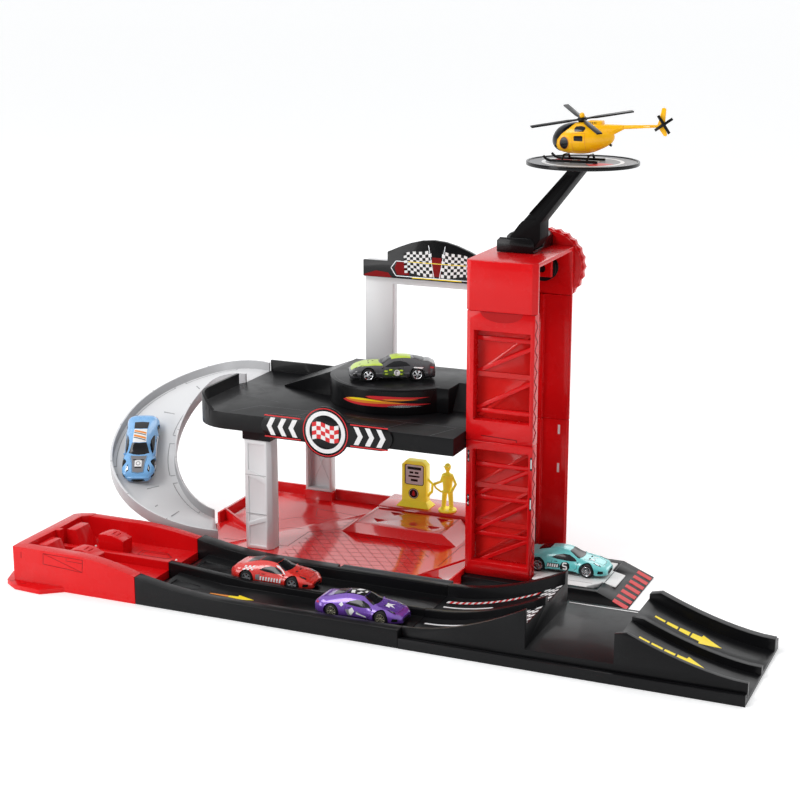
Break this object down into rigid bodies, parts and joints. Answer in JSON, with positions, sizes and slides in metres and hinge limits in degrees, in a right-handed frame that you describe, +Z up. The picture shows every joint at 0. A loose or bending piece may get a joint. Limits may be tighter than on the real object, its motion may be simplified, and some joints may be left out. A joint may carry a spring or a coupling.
{
  "type": "toy parking garage",
  "caption": "Toy parking garage with a spring launcher, two-lane track with a jump, parking deck, spiral ramp, crank lift tower, helipad with helicopter, fuel pump, figure and toy cars.",
  "frame": {"origin": "centre of the underside of the garage base", "axes": "+X along the tracks from the launcher to the landing ramp, +Y from the tracks to the back of the garage, +Z up"},
  "size_m": [0.6504, 0.3166, 0.4021],
  "materials": {
    "red_plastic": "glossy bright red moulding",
    "black_plastic": "semi-gloss black moulding",
    "grey_plastic": "dark grey moulding",
    "pale_plastic": "pale grey moulding",
    "white_plastic": "white moulding",
    "yellow_plastic": "yellow moulding",
    "clear_red_plastic": "see-through red sheet",
    "cord": "white braided cord",
    "tyre": "black wheels with bright hubs",
    "purple_paint": "metallic purple",
    "red_paint": "glossy red",
    "teal_paint": "pale teal",
    "green_paint": "dark olive green",
    "blue_paint": "light blue"
  },
  "bodies": {
    "garage": {"approach_track": "black_plastic", "arch_frame": "pale_plastic", "arch_sign": "black_plastic", "attendant": "yellow_plastic", "deck": "black_plastic", "deck_stage": "black_plastic", "exit_ramp": "black_plastic", "front_column": "pale_plastic", "fuel_pump": "yellow_plastic", "garage_base": "red_plastic", "guard_rail": "grey_plastic", "helipad_arm": "black_plastic", "helipad_base": "black_plastic", "helipad_disc": "black_plastic", "jump_tray": "black_plastic", "launcher_tray": "red_plastic", "lift_cord": "cord", "rear_column": "pale_plastic", "sign_board": "black_plastic", "spiral_ramp": "pale_plastic", "tower_cap": "red_plastic", "tower_lower": "red_plastic", "tower_upper": "red_plastic", "tower_window_lower": "clear_red_plastic", "tower_window_upper": "clear_red_plastic"},
    "slider_front": {"launch_slider_front": "red_plastic"},
    "slider_back": {"launch_slider_back": "red_plastic"},
    "lift": {"lift_platform": "white_plastic"},
    "knob": {"lift_knob": "red_plastic", "lift_spool": "black_plastic"},
    "helicopter": {"helicopter_body": "yellow_plastic", "helicopter_skids": "black_plastic"},
    "main_rotor": {"main_rotor": "black_plastic"},
    "tail_rotor": {"tail_rotor": "black_plastic"},
    "purple_car": {"purple_car_body": "purple_paint"},
    "purple_front_axle": {"purple_car_front_wheels": "tyre"},
    "purple_rear_axle": {"purple_car_rear_wheels": "tyre"},
    "red_car": {"red_car_body": "red_paint"},
    "red_front_axle": {"red_car_front_wheels": "tyre"},
    "red_rear_axle": {"red_car_rear_wheels": "tyre"},
    "teal_car": {"teal_car_body": "teal_paint"},
    "teal_front_axle": {"teal_car_front_wheels": "tyre"},
    "teal_rear_axle": {"teal_car_rear_wheels": "tyre"},
    "green_car": {"green_car_body": "green_paint"},
    "green_front_axle": {"green_car_front_wheels": "tyre"},
    "green_rear_axle": {"green_car_rear_wheels": "tyre"},
    "blue_car": {"blue_car_body": "blue_paint"},
    "blue_front_axle": {"blue_car_front_wheels": "tyre"},
    "blue_rear_axle": {"blue_car_rear_wheels": "tyre"}
  },
  "joints": [
    {"name": "front_launch_push", "type": "slide", "parent": "garage", "child": "slider_front", "axis": [-1, 0, 0], "range_m": [0, 0.008], "stiffness_N_per_m": 60, "springref_m": -0.004},
    {"name": "back_launch_push", "type": "slide", "parent": "garage", "child": "slider_back", "axis": [-1, 0, 0], "range_m": [0, 0.008], "stiffness_N_per_m": 60, "springref_m": -0.004},
    {"name": "lift_rise", "type": "slide", "parent": "garage", "child": "lift", "axis": [0, 0, 1], "range_m": [0, 0.145], "deforming": ["lift_cord"]},
    {"name": "knob_turn", "type": "hinge", "parent": "garage", "child": "knob", "pos_m": [0.164, 0.0488, 0.2615], "axis": [0, 1, 0], "range_deg": [0, 925]},
    {"name": "helicopter_take_off", "type": "slide", "parent": "garage", "child": "helicopter", "axis": [0, 0, 1], "range_m": [0, 0.05]},
    {"name": "main_rotor_spin", "type": "hinge", "parent": "helicopter", "child": "main_rotor", "pos_m": [0.2045, 0.008, 0.3918], "axis": [0, -0.2164, 0.9763], "continuous": true},
    {"name": "tail_rotor_spin", "type": "hinge", "parent": "helicopter", "child": "tail_rotor", "pos_m": [0.273, 0.0069, 0.3901], "axis": [0, 1, 0], "continuous": true},
    {"name": "purple_car_drive", "type": "slide", "parent": "garage", "child": "purple_car", "axis": [1, 0, 0], "range_m": [-0.09, 0.02]},
    {"name": "purple_front_wheels_roll", "type": "hinge", "parent": "purple_car", "child": "purple_front_axle", "pos_m": [0.108, -0.16705, 0.0121], "axis": [0, 1, 0], "continuous": true},
    {"name": "purple_rear_wheels_roll", "type": "hinge", "parent": "purple_car", "child": "purple_rear_axle", "pos_m": [0.065, -0.16705, 0.0121], "axis": [0, 1, 0], "continuous": true},
    {"name": "red_car_drive", "type": "slide", "parent": "garage", "child": "red_car", "axis": [1, 0, 0], "range_m": [-0.012, 0.12]},
    {"name": "red_front_wheels_roll", "type": "hinge", "parent": "red_car", "child": "red_front_axle", "pos_m": [0.009, -0.12595, 0.0121], "axis": [0, 1, 0], "continuous": true},
    {"name": "red_rear_wheels_roll", "type": "hinge", "parent": "red_car", "child": "red_rear_axle", "pos_m": [-0.034, -0.12595, 0.0121], "axis": [0, 1, 0], "continuous": true},
    {"name": "teal_car_drive", "type": "slide", "parent": "lift", "child": "teal_car", "axis": [1, 0, 0], "range_m": [-0.034, 0.01]},
    {"name": "teal_front_wheels_roll", "type": "hinge", "parent": "teal_car", "child": "teal_front_axle", "pos_m": [0.23, -0.0145, 0.0181], "axis": [0, 1, 0], "continuous": true},
    {"name": "teal_rear_wheels_roll", "type": "hinge", "parent": "teal_car", "child": "teal_rear_axle", "pos_m": [0.187, -0.0145, 0.0181], "axis": [0, 1, 0], "continuous": true},
    {"name": "green_car_drive", "type": "slide", "parent": "garage", "child": "green_car", "axis": [-0.8846, -0.4664, 0], "range_m": [-0.018, 0.01]},
    {"name": "green_front_wheels_roll", "type": "hinge", "parent": "green_car", "child": "green_front_axle", "pos_m": [0.01348, 0.00457, 0.1631], "axis": [0.4664, -0.8846, 0], "continuous": true},
    {"name": "green_rear_wheels_roll", "type": "hinge", "parent": "green_car", "child": "green_rear_axle", "pos_m": [0.05152, 0.02463, 0.1631], "axis": [0.4664, -0.8846, 0], "continuous": true},
    {"name": "blue_car_lift_off", "type": "slide", "parent": "garage", "child": "blue_car", "axis": [0, 0, 1], "range_m": [0, 0.04]},
    {"name": "blue_front_wheels_roll", "type": "hinge", "parent": "blue_car", "child": "blue_front_axle", "pos_m": [-0.20071, -0.03697, 0.06172], "axis": [0.9113, 0.4118, 0], "continuous": true},
    {"name": "blue_rear_wheels_roll", "type": "hinge", "parent": "blue_car", "child": "blue_rear_axle", "pos_m": [-0.21582, -0.00353, 0.08412], "axis": [0.9113, 0.4118, 0], "continuous": true}
  ],
  "couplings": [
    {"joint": "knob_turn", "follows": "lift_rise", "rad_per_m": 111.11},
    {"joint": "purple_front_wheels_roll", "follows": "purple_car_drive", "rad_per_m": 172.41},
    {"joint": "purple_rear_wheels_roll", "follows": "purple_car_drive", "rad_per_m": 172.41},
    {"joint": "red_front_wheels_roll", "follows": "red_car_drive", "rad_per_m": 172.41},
    {"joint": "red_rear_wheels_roll", "follows": "red_car_drive", "rad_per_m": 172.41},
    {"joint": "teal_front_wheels_roll", "follows": "teal_car_drive", "rad_per_m": 172.41},
    {"joint": "teal_rear_wheels_roll", "follows": "teal_car_drive", "rad_per_m": 172.41},
    {"joint": "green_front_wheels_roll", "follows": "green_car_drive", "rad_per_m": 172.41},
    {"joint": "green_rear_wheels_roll", "follows": "green_car_drive", "rad_per_m": 172.41}
  ]
}
